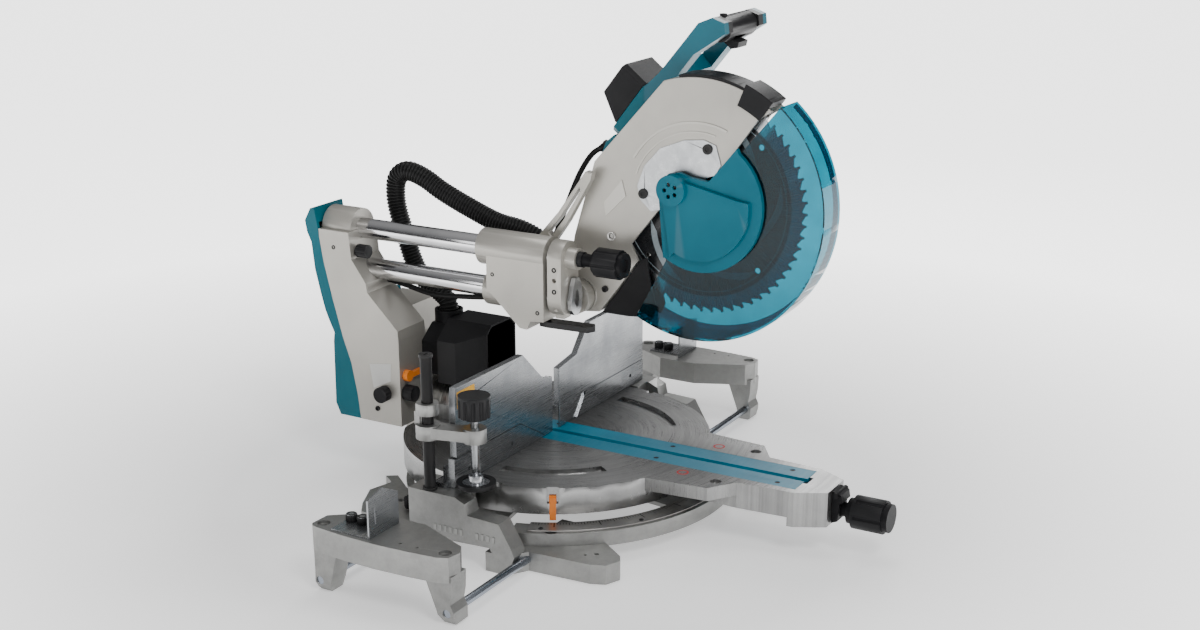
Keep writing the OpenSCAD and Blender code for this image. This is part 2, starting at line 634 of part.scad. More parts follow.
module guard_cover() color(teal) difference() {
  union() {
    yz(-34, -26.5, concat(dcover, darc(52, -122, 93)));
    yz(-40, -33, concat([[-205, 398], [-192, 480], [-194, 496], [-206, 506], [-222, 502],
      [-300, 486]], darc(8, -116, 76)));
    cx(-207, 490, 21, -46, -27);
  }
  yz(-31, -20, concat([[-199, 398], [-190, 478], [-193, 494], [-204, 503], [-228, 501], [-260, 496],
    [-294, 540]], darc(50, -118, 87)));
  cx(-207, 490, 15, -43, -20);
  for (a = [0 : 72 : 288]) cx(-207 + 8.5 * cos(a), 490 + 8.5 * sin(a), 3, -50, -40);
}
module blade() color(steel) difference() {
  translate([blade_t / 2, spindle_y, spindle_z]) rotate([0, -90, 0]) linear_extrude(blade_t)
    polygon([for (i = [0 : teeth - 1]) for (k = [0 : 2]) let (t = 360 / teeth * (i + [0, 0.25, 0.9][k]),
      r = [blade_r, blade_r - 8, blade_r - 3][k]) [r * cos(t), r * sin(t)]]);
  cx(spindle_y, spindle_z, 12.7, -10, 10);
  for (a = [45 : 90 : 315]) cx(spindle_y + 118 * cos(a), spindle_z + 118 * sin(a), 4, -5, 5);
}
module spindle() color(steel) {
  cx(spindle_y, spindle_z, 12.65, -6, 87);
  // arbor bolt head
  translate([-17, spindle_y, spindle_z]) rotate([0, 90, 0]) cylinder(r = 10, h = 11, $fn = 6);
  // crown gear
  difference() {
    cx(spindle_y, spindle_z, 44, 56, 64.4);
    for (i = [0 : 31]) translate([61, spindle_y, spindle_z]) rotate([i * 11.25 - 51.9, 0, 0])
      translate([0, -1.9, 26]) cube([4, 3.8, 20]);
    difference() { cx(spindle_y, spindle_z, 28, 61, 67); cx(spindle_y, spindle_z, 16, 60, 68); }
  }
}
module arbor_flanges() color(steel) {
  difference() { cx(spindle_y, spindle_z, 30, -6, -1); cx(spindle_y, spindle_z, 12.65, -7, 0); }
  difference() { cx(spindle_y, spindle_z, 30, 1, 9); cx(spindle_y, spindle_z, 12.65, 0, 12); }
}
module armature() {
  color(steel) mframe() {
    // pinion with eight teeth, then the shaft
    translate([0, 0, 27]) linear_extrude(17) union() {
      circle(r = 7.2);
      for (a = [0 : 45 : 315]) rotate(a) translate([0, -1.1]) square([11, 2.2]);
    }
    translate([0, 0, 44]) cylinder(r = 6, h = 150);
  }
  color([0.6, 0.35, 0.15]) mframe() translate([0, 0, 108]) cylinder(r = 30, h = 56);
}

// ---------- flexible pieces ----------
function unit(v) = v / norm(v);
function ringpts(p, t, r, n) = let (u = unit(cross(t, [1, 0.13, 0.07])), w = cross(t, u))
  [for (i = [0 : n - 1]) p + r * cos(360 * i / n) * u + r * sin(360 * i / n) * w];
function tangent(c, i) = unit(c[min(i + 1, len(c) - 1)] - c[max(i - 1, 0)]);
// smooth curve through hand-placed points
function cr(p, i, t) = let (a = p[max(i - 1, 0)], b = p[i], c = p[i + 1], d = p[min(i + 2, len(p) - 1)])
  0.5 * (2 * b + (c - a) * t + (2 * a - 5 * b + 4 * c - d) * t * t + (3 * b - a - 3 * c + d) * t * t * t);
function curve(p, k) = concat([for (i = [0 : len(p) - 2]) for (j = [0 : k - 1]) cr(p, i, j / k)],
  [p[len(p) - 1]]);
module tube(p, r, k = 5, n = 12) {
  c = curve(p, k);
  m = len(c);
  pts = [for (i = [0 : m - 1]) for (q = ringpts(c[i], tangent(c, i), r, n)) q];
  polyhedron(points = concat(pts, [c[0], c[m - 1]]), faces = concat(
    [for (i = [0 : m - 2]) for (j = [0 : n - 1]) [i * n + j, i * n + (j + 1) % n,
      (i + 1) * n + (j + 1) % n, (i + 1) * n + j]],
    [for (j = [0 : n - 1]) [m * n, (j + 1) % n, j]],
    [for (j = [0 : n - 1]) [m * n + 1, (m - 1) * n + j, (m - 1) * n + (j + 1) % n]]));
}
hose_path = [[8, 12, 341], [8, 12, 354], [7, 24, 378], [3, 56, 394], [0, 99, 402], [0, 146, 418],
  [0, 193, 437], [0, 226, 454], [0, 255, 461], [0, 274, 450], [0, 279, 427], [0, 276, 400],
  [0, 265, 366], [0, 252, 328], [0, 236, 302], [1, 212, 286], [2, 194, 272], [2, 190, 256],
  [2, 190, 242]];
module dust_hose() color(black) tube(hose_path, 15, 3);
module motor_cable() color(black) tube([[-20, 2, 334], [-20, 2, 350], [-19, -3, 376],
  [-11, -12, 410], [6, -19, 446], [26, -26, 482], [40, -38, 508], [44, -55.5, 520]], 4, 5, 8);
module supply_cable() color(black) tube([[-50, 280, 306], [-50, 262, 306], [-50, 228, 301],
  [-50, 180, 294], [-48, 130, 297], [-44, 80, 303], [-35, 46, 315], [-34, 37, 316], [-34, 29, 316]],
  4, 5, 8);

base_casting();
miter_scale();
lower_fence();
upper_fence_left();
upper_fence_right();
fence_clamp_left();
fence_clamp_right();
sub_base_left();
sub_base_right();
extension_rods_left();
extension_rods_right();
sub_fence_left();
sub_fence_right();
rod_knob_left();
rod_knob_right();
vise_post();
vise_arm();
vise_screw();
vise_pad();
turntable();
kerf_boards();
kerf_screws();
miter_pointer();
miter_grip();
miter_lock_lever();
bevel_arm();
arm_rear_cover();
dust_hood();
slide_rails();
rail_end_plate();
pole_grip();
latch_lever();
slide_lock_knob();
bevel_stop_lever();
bevel_knob_rear();
bevel_knob_front();
carriage();
carry_handle();
hinge_pin();
depth_stop_arm();
blade_case();
case_trim();
guard_plate();
case_bolts();
dust_nozzle();
gear_case();
motor_housing();
motor_cap();
handle();
trigger();
lock_off_button();
lower_guard();
guard_cover();
blade();
spindle();
arbor_flanges();
armature();
dust_hose();
motor_cable();
supply_cable();
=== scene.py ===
import json
import math

import bmesh
import bpy
from mathutils import Matrix, Vector


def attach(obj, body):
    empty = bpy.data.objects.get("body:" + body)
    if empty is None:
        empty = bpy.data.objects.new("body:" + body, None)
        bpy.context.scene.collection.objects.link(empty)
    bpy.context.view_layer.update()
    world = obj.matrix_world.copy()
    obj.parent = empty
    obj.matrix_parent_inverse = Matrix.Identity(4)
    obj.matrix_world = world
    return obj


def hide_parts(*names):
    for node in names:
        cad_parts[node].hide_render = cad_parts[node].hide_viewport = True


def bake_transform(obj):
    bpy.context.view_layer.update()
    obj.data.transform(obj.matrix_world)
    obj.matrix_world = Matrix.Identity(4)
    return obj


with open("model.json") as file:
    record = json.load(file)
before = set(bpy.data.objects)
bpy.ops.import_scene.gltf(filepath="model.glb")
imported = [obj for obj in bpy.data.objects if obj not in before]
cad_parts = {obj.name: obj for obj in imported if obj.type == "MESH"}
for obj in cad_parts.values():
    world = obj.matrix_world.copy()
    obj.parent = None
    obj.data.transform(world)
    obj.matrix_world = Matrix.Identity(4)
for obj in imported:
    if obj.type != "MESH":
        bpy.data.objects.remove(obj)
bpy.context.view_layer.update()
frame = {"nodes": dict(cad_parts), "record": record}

MM = 0.001
# the saw's own places, in metres: spindle (y, z), screw axis of the vise (x, y), cross grip (y, z, radius)
SPINDLE = (-0.235, 0.468)
VISE = (-0.265, -0.032)
GRIP = (-0.228, 0.692, 0.030)
TEETH = 60


# ---------------------------------------------------------------- camera
cam_data = bpy.data.cameras.new("camera")
cam = bpy.data.objects.new("camera", cam_data)
bpy.context.scene.collection.objects.link(cam)
CAMERA_AT = Vector((-2.0505, -1.24335, 0.98897))
right = Vector((0.4955, -0.8686, 0))
up = Vector((0.3009, 0.1716, 0.9381))
fwd = Vector((0.8149, 0.4648, -0.3464))
m = Matrix((right, up, -fwd)).transposed().to_4x4()
m.translation = CAMERA_AT
cam.matrix_world = m
cam_data.lens, cam_data.sensor_width = 51.47, 36
cam_data.shift_y = 0.0923
cam_data.clip_start, cam_data.clip_end = 0.05, 100
bpy.context.scene.camera = cam


# ---------------------------------------------------------------- materials
class Nodes:
    """A small wrapper to write node trees in few lines."""

    def __init__(self, name):
        self.mat = bpy.data.materials.new(name)
        self.mat.use_nodes = True
        self.t = self.mat.node_tree
        self.t.nodes.clear()
        self.out = self.t.nodes.new("ShaderNodeOutputMaterial")
        self.p = self.t.nodes.new("ShaderNodeBsdfPrincipled")
        self.t.links.new(self.p.outputs[0], self.out.inputs[0])
        self.coord = self.t.nodes.new("ShaderNodeTexCoord")

    def put(self, sock, v):
        if isinstance(v, bpy.types.NodeSocket):
            self.t.links.new(v, sock)
        elif v is not None:
            sock.default_value = v

    def math(self, op, a, b=None, c=None):
        n = self.t.nodes.new("ShaderNodeMath")
        n.operation = op
        for s, v in zip(n.inputs, (a, b, c)):
            self.put(s, v)
        return n.outputs[0]

    def vmath(self, op, a, b=None, scale=None):
        n = self.t.nodes.new("ShaderNodeVectorMath")
        n.operation = op
        self.put(n.inputs[0], a)
        self.put(n.inputs[1], b)
        if scale is not None:
            self.put(n.inputs["Scale"], scale)
        return n.outputs["Value"] if op in ("LENGTH", "DOT_PRODUCT") else n.outputs["Vector"]

    def noise(self, scale, detail=4, rough=0.55, vec=None):
        n = self.t.nodes.new("ShaderNodeTexNoise")
        self.put(n.inputs["Vector"], vec or self.coord.outputs["Object"])
        n.inputs["Scale"].default_value = scale
        n.inputs["Detail"].default_value = detail
        n.inputs["Roughness"].default_value = rough
        return n.outputs["Fac"]

    def ramp(self, v, lo, hi, a=0.0, b=1.0):
        n = self.t.nodes.new("ShaderNodeMapRange")
        self.put(n.inputs["Value"], v)
        for k, x in (("From Min", lo), ("From Max", hi), ("To Min", a), ("To Max", b)):
            self.put(n.inputs[k], x)
        return n.outputs[0]

    def mix(self, f, a, b):
        n = self.t.nodes.new("ShaderNodeMix")
        n.data_type = "RGBA"
        self.put(n.inputs[0], f)
        self.put(n.inputs[6], a)
        self.put(n.inputs[7], b)
        return n.outputs[2]

    def xyz(self, vec=None):
        n = self.t.nodes.new("ShaderNodeSeparateXYZ")
        self.put(n.inputs[0], vec or self.coord.outputs["Object"])
        return n.outputs

    def vec(self, x, y, z):
        n = self.t.nodes.new("ShaderNodeCombineXYZ")
        for s, v in zip(n.inputs, (x, y, z)):
            self.put(s, v)
        return n.outputs[0]

    def length(self, a, b):
        """Square root of a squared plus b squared."""
        return self.math("SQRT", self.math("ADD", self.math("MULTIPLY", a, a), self.math("MULTIPLY", b, b)))

    def both(self, a, b):
        """1 where both tests hold."""
        return self.math("MULTIPLY", a, b)

    def bump(self, h, strength=0.2, dist=0.0005, normal=None):
        n = self.t.nodes.new("ShaderNodeBump")
        n.inputs["Strength"].default_value = strength
        n.inputs["Distance"].default_value = dist
        self.put(n.inputs["Height"], h)
        self.put(n.inputs["Normal"], normal)
        return n.outputs[0]

    def worn(self):
        """1 along convex edges of dense meshes, 0 elsewhere."""
        g = self.t.nodes.new("ShaderNodeNewGeometry")
        return self.ramp(g.outputs["Pointiness"], 0.52, 0.60)

    def set(self, **k):
        names = {"color": "Base Color", "rough": "Roughness", "metal": "Metallic", "normal": "Normal",
                 "coat": "Coat Weight", "coat_rough": "Coat Roughness", "ior": "IOR",
                 "trans": "Transmission Weight", "aniso": "Anisotropic", "spec": "Specular IOR Level"}
        for a, v in k.items():
            self.put(self.p.inputs[names[a]], v)
        return self.mat


def rgb(r, g, b):
    return (r, g, b, 1.0)


def cast(name, base, dark, metal=0.85, rough=0.42, grain=900, scratch=0.0):
    """Die-cast metal: fine grain, soft cloudy tone, faint stains and brighter worn edges."""
    n = Nodes(name)
    cloud = n.noise(9, 5)
    fine = n.noise(grain, 3)
    mid = n.noise(70, 5, 0.7)
    f = n.math("ADD", n.math("MULTIPLY", n.ramp(cloud, 0.35, 0.7), 0.55),
               n.math("MULTIPLY", n.ramp(mid, 0.4, 0.75), 0.45))
    c = n.mix(f, rgb(*base), rgb(*dark))
    bright = tuple(min(1, x * 1.18) for x in base)
    c = n.mix(n.math("MULTIPLY", n.worn(), 0.6), c, rgb(*bright))
    r = n.math("ADD", n.ramp(mid, 0.3, 0.8, rough - 0.05, rough + 0.08), n.ramp(fine, 0.3, 0.7, -0.03, 0.05))
    h = n.math("ADD", n.math("MULTIPLY", fine, 0.5), n.math("MULTIPLY", mid, 0.7))
    return n.set(color=c, rough=r, metal=metal, normal=n.bump(h, 0.16, 0.0004))


def machined(name, base, dark):
    """Face-turned metal: concentric tool marks about the vertical axis with a soft rainbow of tones."""
    n = Nodes(name)
    s = n.xyz()
    r = n.length(s[0], s[1])
    ang = n.math("ARCTAN2", s[1], s[0])
    lines = n.noise(1.0, 5, 0.7, n.vec(n.math("MULTIPLY", r, 2600), n.math("MULTIPLY", ang, 1.4),
                                       n.math("MULTIPLY", s[2], 30)))
    bands = n.noise(1.0, 3, 0.6, n.vec(n.math("MULTIPLY", r, 160), n.math("MULTIPLY", ang, 2.0), 0.0))
    cloud = n.noise(11, 5)
    f = n.math("ADD", n.math("MULTIPLY", n.ramp(bands, 0.35, 0.7), 0.5),
               n.math("MULTIPLY", n.ramp(cloud, 0.35, 0.7), 0.5))
    c = n.mix(f, rgb(*base), rgb(*dark))
    c = n.mix(n.ramp(lines, 0.55, 0.75, 0.0, 0.35), c, rgb(*[x * 0.6 for x in dark]))
    rough = n.math("ADD", n.ramp(lines, 0.3, 0.7, 0.20, 0.36), n.ramp(cloud, 0.3, 0.7, -0.03, 0.06))
    return n.set(color=c, rough=rough, metal=0.95, normal=n.bump(lines, 0.10, 0.0002), aniso=0.5)


def milled(name, base, dark, axis=0):
    """Milled plate: long straight tool marks with shallow swirls."""
    n = Nodes(name)
    s = n.xyz()
    v = [n.math("MULTIPLY", s[i], 12 if i == axis else 900) for i in range(3)]
    lines = n.noise(1.0, 5, 0.7, n.vec(*v))
    swirl = n.noise(14, 5, 0.6)
    c = n.mix(n.ramp(swirl, 0.35, 0.7), rgb(*base), rgb(*dark))
    c = n.mix(n.ramp(lines, 0.5, 0.8, 0.0, 0.3), c, rgb(*[x * 0.65 for x in dark]))
    rough = n.math("ADD", n.ramp(lines, 0.3, 0.7, 0.18, 0.33), n.ramp(swirl, 0.3, 0.7, -0.03, 0.07))
    return n.set(color=c, rough=rough, metal=0.95, normal=n.bump(lines, 0.08, 0.0002), aniso=0.4)


def plastic(name, base, dark, rough=0.38, grain=1400, bump=0.12, coat=0.0):
    """Moulded plastic: spark-eroded grain, slight tone drift, dust-pale edges."""
    n = Nodes(name)
    cloud = n.noise(16, 4)
    fine = n.noise(grain, 2)
    c = n.mix(n.ramp(cloud, 0.3, 0.75), rgb(*base), rgb(*dark))
    pale = tuple(x * 0.82 + 0.05 for x in base)
    c = n.mix(n.math("MULTIPLY", n.worn(), 0.5), c, rgb(*pale))
    r = n.math("ADD", n.ramp(fine, 0.3, 0.7, rough - 0.05, rough + 0.07),
               n.ramp(cloud, 0.3, 0.7, -0.03, 0.04))
    return n.set(color=c, rough=r, metal=0.0, normal=n.bump(fine, bump, 0.0003), coat=coat,
                 coat_rough=0.15, spec=0.12)


def polished(name, base, rough=0.1, axis=1):
    """Ground and polished bar: fine lengthwise or round marks with faint smears."""
    n = Nodes(name)
    s = n.xyz()
    v = [n.math("MULTIPLY", s[i], 1500 if i == axis else 25) for i in range(3)]
    ringy = n.noise(1.0, 4, 0.6, n.vec(*v))
    smear = n.noise(22, 5)
    c = n.mix(n.ramp(smear, 0.4, 0.75), rgb(*base), rgb(*[x * 0.86 for x in base]))
    rr = n.math("ADD", n.ramp(ringy, 0.3, 0.7, rough, rough + 0.08), n.ramp(smear, 0.3, 0.7, 0.0, 0.06))
    return n.set(color=c, rough=rr, metal=1.0, normal=n.bump(ringy, 0.04, 0.0001))


def painted():
    """Warm silver paint with fine metallic flake over a lightly pebbled casting."""
    n = Nodes("silver_paint_flake")
    cloud = n.noise(7, 4)
    flake = n.noise(3800, 2)
    peel = n.noise(420, 3)
    c = n.mix(n.ramp(cloud, 0.3, 0.75), rgb(0.40, 0.382, 0.345), rgb(0.31, 0.298, 0.27))
    c = n.mix(n.ramp(flake, 0.56, 0.72, 0.0, 0.5), c, rgb(0.60, 0.585, 0.545))
    c = n.mix(n.math("MULTIPLY", n.worn(), 0.5), c, rgb(0.52, 0.505, 0.465))
    r = n.math("ADD", n.ramp(flake, 0.3, 0.7, 0.30, 0.42), n.ramp(cloud, 0.3, 0.7, -0.02, 0.05))
    h = n.math("ADD", peel, n.math("MULTIPLY", flake, 0.3))
    return n.set(color=c, rough=r, metal=0.45, normal=n.bump(h, 0.07, 0.0003), coat=0.1, coat_rough=0.22)


def clear_teal():
    """Tinted clear guard: moulded ripple, fine scuffs, see-through."""
    n = Nodes("clear_teal")
    rip = n.noise(30, 3)
    scuff = n.noise(1.0, 4, 0.7, n.vmath("MULTIPLY", n.coord.outputs["Object"], (700, 60, 500)))
    c = n.mix(n.ramp(rip, 0.3, 0.7), rgb(0.0, 0.14, 0.20), rgb(0.0, 0.11, 0.16))
    r = n.ramp(scuff, 0.55, 0.8, 0.03, 0.16)
    return n.set(color=c, rough=r, metal=0.0, trans=0.96, ior=1.12, normal=n.bump(rip, 0.03, 0.0006),
                 coat=0.3, coat_rough=0.04)


def blade_steel():
    """Saw plate: dark low-friction coat inside, bare ground steel at the toothed rim, generic arc print."""
    n = Nodes("blade_plate")
    s = n.xyz()
    y, z = n.math("SUBTRACT", s[1], SPINDLE[0]), n.math("SUBTRACT", s[2], SPINDLE[1])
    r = n.length(y, z)
    a = n.math("ARCTAN2", z, y)
    grind = n.noise(1.0, 4, 0.6, n.vec(n.math("MULTIPLY", a, 90), n.math("MULTIPLY", r, 60), 0.0))
    rim = n.ramp(r, 0.1285, 0.1305)
    band = n.both(n.math("GREATER_THAN", r, 0.085), n.math("LESS_THAN", r, 0.118))
    saw = n.math("FRACT", n.math("ADD", n.math("MULTIPLY", a, 6 / (2 * math.pi)), n.math("MULTIPLY", r, 22)))
    stripe = n.both(n.both(n.math("GREATER_THAN", saw, 0.30), n.math("LESS_THAN", saw, 0.52)), band)
    line = n.both(n.math("GREATER_THAN", r, 0.1225), n.math("LESS_THAN", r, 0.1237))
    c = n.mix(n.math("MAXIMUM", stripe, line), rgb(0.012, 0.013, 0.015), rgb(0.36, 0.42, 0.45))
    steel = n.mix(n.ramp(grind, 0.35, 0.7), rgb(0.60, 0.62, 0.64), rgb(0.42, 0.44, 0.46))
    c = n.mix(rim, c, steel)
    rough = n.ramp(grind, 0.3, 0.7, 0.22, 0.38)
    return n.set(color=c, rough=rough, metal=n.ramp(rim, 0, 1, 0.1, 1.0), normal=n.bump(grind, 0.05, 0.0002))


def scale_plate():
    """Machined plate with engraved degree marks about the table axis."""
    n = Nodes("scale_plate")
    s = n.xyz()
    r = n.length(s[0], s[1])
    deg = n.math("MULTIPLY", n.math("ARCTAN2", s[1], s[0]), 180 / math.pi)

    def marks(step, half, r0, r1):
        f = n.math("FRACT", n.math("ADD", n.math("DIVIDE", deg, step), 0.5))
        on = n.math("LESS_THAN", n.math("ABSOLUTE", n.math("SUBTRACT", f, 0.5)), half / step)
        return n.both(on, n.both(n.math("GREATER_THAN", r, r0), n.math("LESS_THAN", r, r1)))

    inner = 0.2355
    ink = n.math("MAXIMUM", marks(5, 0.11, inner, 0.244), marks(15, 0.2, inner, 0.250))
    ink = n.math("MAXIMUM", marks(1, 0.09, inner, 0.241), ink)
    ink = n.math("MULTIPLY", ink, n.math("GREATER_THAN", s[2], 0.0484))
    lines = n.noise(1.0, 4, 0.6, n.vec(n.math("MULTIPLY", r, 1800), n.math("MULTIPLY", deg, 0.02), 0.0))
    cloud = n.noise(20, 4)
    c = n.mix(n.ramp(cloud, 0.35, 0.7), rgb(0.40, 0.39, 0.375), rgb(0.27, 0.265, 0.26))
    c = n.mix(ink, c, rgb(0.02, 0.02, 0.02))
    return n.set(color=c, rough=n.ramp(lines, 0.3, 0.7, 0.26, 0.4), metal=0.9,
                 normal=n.bump(n.math("SUBTRACT", lines, ink), 0.12, 0.0003))


def kerf():
    """Bright teal insert plastic with sawdust-pale scuffs across the slot."""
    n = Nodes("kerf_teal")
    s = n.vmath("MULTIPLY", n.coord.outputs["Object"], (40, 500, 500))
    scuff = n.noise(1.0, 5, 0.7, s)
    cloud = n.noise(18, 4)
    c = n.mix(n.ramp(cloud, 0.3, 0.7), rgb(0.0, 0.21, 0.33), rgb(0.0, 0.17, 0.27))
    c = n.mix(n.ramp(scuff, 0.62, 0.8, 0.0, 0.35), c, rgb(0.12, 0.36, 0.46))
    return n.set(color=c, rough=n.ramp(scuff, 0.3, 0.7, 0.30, 0.46), metal=0.0,
                 normal=n.bump(scuff, 0.06, 0.0003))


M = {
    "cast_alloy": cast("cast_alloy_grain", (0.34, 0.34, 0.33), (0.22, 0.22, 0.215)),
    "table_alloy": machined("table_turned", (0.42, 0.42, 0.415), (0.22, 0.22, 0.22)),
    "silver_paint": painted(),
    "teal_plastic": plastic("teal_moulded", (0.0, 0.115, 0.155), (0.0, 0.092, 0.125), 0.36, coat=0.0),
    "kerf_plastic": kerf(),
    "clear_plastic": clear_teal(),
    "black_plastic": plastic("black_moulded", (0.009, 0.009, 0.010), (0.005, 0.005, 0.006), 0.42, 900, 0.2),
    "black_rubber": plastic("black_rubber_soft", (0.006, 0.006, 0.006), (0.004, 0.004, 0.004), 0.38, 500, 0.12),
    "black_steel": plastic("black_oxide", (0.014, 0.014, 0.015), (0.024, 0.023, 0.022), 0.34, 700, 0.10),
    "polished_steel": polished("ground_chrome", (0.66, 0.66, 0.67), 0.08),
    "plain_steel": cast("plain_steel_rolled", (0.42, 0.43, 0.44), (0.28, 0.29, 0.30), 0.95, 0.30, 1500),
    "orange_plastic": plastic("orange_moulded", (0.86, 0.23, 0.02), (0.70, 0.17, 0.015), 0.36),
}


def two_tone(name, near, far, where, rough=0.36):
    """One moulding with a second material moulded or fitted on: where(n) gives 1 on the second."""
    n = Nodes(name)
    k = where(n)
    cloud, fine = n.noise(16, 4), n.noise(1100, 2)
    a = n.mix(n.ramp(cloud, 0.3, 0.75), rgb(*near[0]), rgb(*[x * 0.8 for x in near[0]]))
    b = n.mix(n.ramp(cloud, 0.3, 0.75), rgb(*far[0]), rgb(*[x * 0.75 for x in far[0]]))
    r = n.math("ADD", n.ramp(k, 0, 1, near[2], far[2]), n.ramp(fine, 0.3, 0.7, -0.04, 0.06))
    return n.set(color=n.mix(k, a, b), rough=r, metal=n.ramp(k, 0, 1, near[1], far[1]),
                 normal=n.bump(fine, 0.15, 0.0003), spec=0.25)


def on_grip(n):
    s = n.xyz()
    r = n.length(n.math("SUBTRACT", s[1], GRIP[0]), n.math("SUBTRACT", s[2], GRIP[1]))
    between = n.both(n.math("GREATER_THAN", s[0], 0.040), n.math("LESS_THAN", s[0], 0.148))
    return n.both(n.math("LESS_THAN", r, GRIP[2]), between)


def below(z0):
    return lambda n: n.math("LESS_THAN", n.xyz()[2], z0)


BLACK = ((0.010, 0.010, 0.011), 0.0, 0.42)
M["handle"] = two_tone("handle_two_tone", ((0.0, 0.105, 0.15), 0.0, 0.33), BLACK, on_grip)
M["vise_screw"] = two_tone("vise_screw_two_tone", BLACK, ((0.55, 0.56, 0.58), 1.0, 0.2), below(0.2035))


def on_cup(n):
    s = n.xyz()
    r = n.length(n.math("SUBTRACT", s[0], VISE[0]), n.math("SUBTRACT", s[1], VISE[1]))
    return n.both(n.math("LESS_THAN", r, 0.0188), n.math("GREATER_THAN", s[2], 0.1118))


M["vise_pad"] = two_tone("vise_pad_two_tone", BLACK, ((0.55, 0.56, 0.58), 1.0, 0.25), on_cup)
M["fence"] = milled("fence_milled", (0.40, 0.41, 0.42), (0.24, 0.25, 0.265), 0)
M["rod"] = polished("zinc_rod", (0.34, 0.37, 0.42), 0.16, 0)
M["scale"] = scale_plate()
M["blade"] = blade_steel()
M["cover_teal"] = plastic("cover_teal", (0.0, 0.115, 0.165), (0.0, 0.092, 0.135), 0.30, coat=0.0)
M["copper"] = cast("winding_copper", (0.45, 0.22, 0.10), (0.30, 0.13, 0.06), 0.9, 0.35, 300)
M["carbide"] = polished("carbide_tip", (0.50, 0.50, 0.51), 0.22, 0)
M["socket"] = plastic("socket_black", (0.018, 0.018, 0.019), (0.010, 0.010, 0.011), 0.28, 700, 0.06)
M["label_pale"] = plastic("label_pale", (0.62, 0.62, 0.60), (0.52, 0.52, 0.50), 0.4)
M["label_yellow"] = plastic("label_yellow", (0.83, 0.43, 0.03), (0.72, 0.36, 0.02), 0.34)
M["label_red"] = plastic("label_red", (0.60, 0.02, 0.02), (0.48, 0.01, 0.01), 0.34)
M["nickel"] = cast("nickel_screw", (0.60, 0.59, 0.57), (0.46, 0.45, 0.43), 0.95, 0.24, 1500)

SPECIAL = {
    "upper_fence_left": "fence", "upper_fence_right": "fence", "lower_fence": "fence",
    "sub_fence_left": "fence", "sub_fence_right": "fence", "miter_scale": "scale",
    "extension_rods_left": "rod", "extension_rods_right": "rod", "blade": "blade",
    "guard_cover": "cover_teal", "armature": "copper", "handle": "handle", "vise_screw": "vise_screw",
    "vise_pad": "vise_pad",
}
# width of the rounding on the edges, in metres, where the usual one is too wide for the piece
EDGE = 0.0011
SHARP = {"lower_guard": 0.0006, "blade": 0.0, "kerf_screws": 0.0003, "case_bolts": 0.0004,
         "miter_scale": 0.0003, "sub_fence_left": 0.0004, "sub_fence_right": 0.0004,
         "guard_plate": 0.0005, "armature": 0.0, "spindle": 0.0, "arbor_flanges": 0.0004,
         "slide_rails": 0.0005, "kerf_boards": 0.0004, "case_trim": 0.0006}
# cords that ribbed or smooth pieces below take the place of
HIDDEN = ("dust_hose", "motor_cable", "supply_cable")

slots = {s["node"]: s["material_slot"] for s in frame["record"]["subparts"]}


def smooth_edges(o, width, angle=32):
    """Rounds the hard edges a little, as a casting or a moulding has them."""
    w = o.modifiers.new("weld", "WELD")
    w.merge_threshold = 1e-6
    if width > 0:
        b = o.modifiers.new("bevel", "BEVEL")
        b.width, b.segments, b.limit_method = width, 2, "ANGLE"
        b.angle_limit = math.radians(angle)
        b.use_clamp_overlap = True
        b.harden_normals = True


for name, o in frame["nodes"].items():
    mat = M[SPECIAL.get(name, slots[name])]
    for s in o.material_slots:
        s.link = "OBJECT"
        s.material = mat
    if not o.material_slots:
        o.data.materials.append(mat)
    if name not in HIDDEN:
        smooth_edges(o, SHARP.get(name, EDGE))


# ---------------------------------------------------------------- mesh helpers
def add(name, bm, body, mat, smooth=True, angle=35):
    bmesh.ops.remove_doubles(bm, verts=bm.verts, dist=1e-7)
    bmesh.ops.recalc_face_normals(bm, faces=bm.faces)
    me = bpy.data.meshes.new(name)
    bm.to_mesh(me)
    bm.free()
    for p in me.polygons:
        p.use_smooth = smooth
    o = bpy.data.objects.new(name, me)
    bpy.context.scene.collection.objects.link(o)
    me.materials.append(M[mat])
    if smooth:
        me.set_sharp_from_angle(angle=math.radians(angle))
    if body:
        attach(o, body)
    return o


def basis(axis):
    z = Vector(axis).normalized()
    x = z.cross(Vector((0.3, 0.9, 0.2))).normalized()
    if abs(z.x) > 0.9:
        x = Vector((0, 1, 0))
    y = z.cross(x)
    return x, y, z


def turned(bm, at, axis, prof, n=32):
    """Closed turned solid. prof: (radius, height, kind), kind c round, h six-sided, k knurled, all in mm."""
    x, y, z = basis(axis)
    o = Vector(at) * MM
    rows = []
    for r, h, kind in prof:
        row = []
        for i in range(n):
            t = 2 * math.pi * i / n
            k = 1.0
            if kind == "h":
                k = 1 / math.cos((t + math.pi / 6) % (math.pi / 3) - math.pi / 6)
            if kind == "k":
                k = 1 + 0.05 * (1 if i % 2 else -1)
            row.append(bm.verts.new(o + (x * math.cos(t) + y * math.sin(t)) * r * k * MM + z * h * MM))
        rows.append(row)
    for a, b in zip(rows, rows[1:]):
        for i in range(n):
            bm.faces.new((a[i], a[(i + 1) % n], b[(i + 1) % n], b[i]))
    bm.faces.new(list(reversed(rows[0])))
    bm.faces.new(rows[-1])


def block(bm, x0, x1, y0, y1, z0, z1, ch=0.4):
    """Chamfered block, in mm."""
    g = bmesh.ops.create_cube(bm, size=1.0)
    for v in g["verts"]:
        v.co = Vector(((x0 + x1) / 2 + v.co.x * (x1 - x0), (y0 + y1) / 2 + v.co.y * (y1 - y0),
                       (z0 + z1) / 2 + v.co.z * (z1 - z0))) * MM
    es = list({e for v in g["verts"] for e in v.link_edges})
    bmesh.ops.bevel(bm, geom=es, offset=ch * MM, segments=1, affect="EDGES")


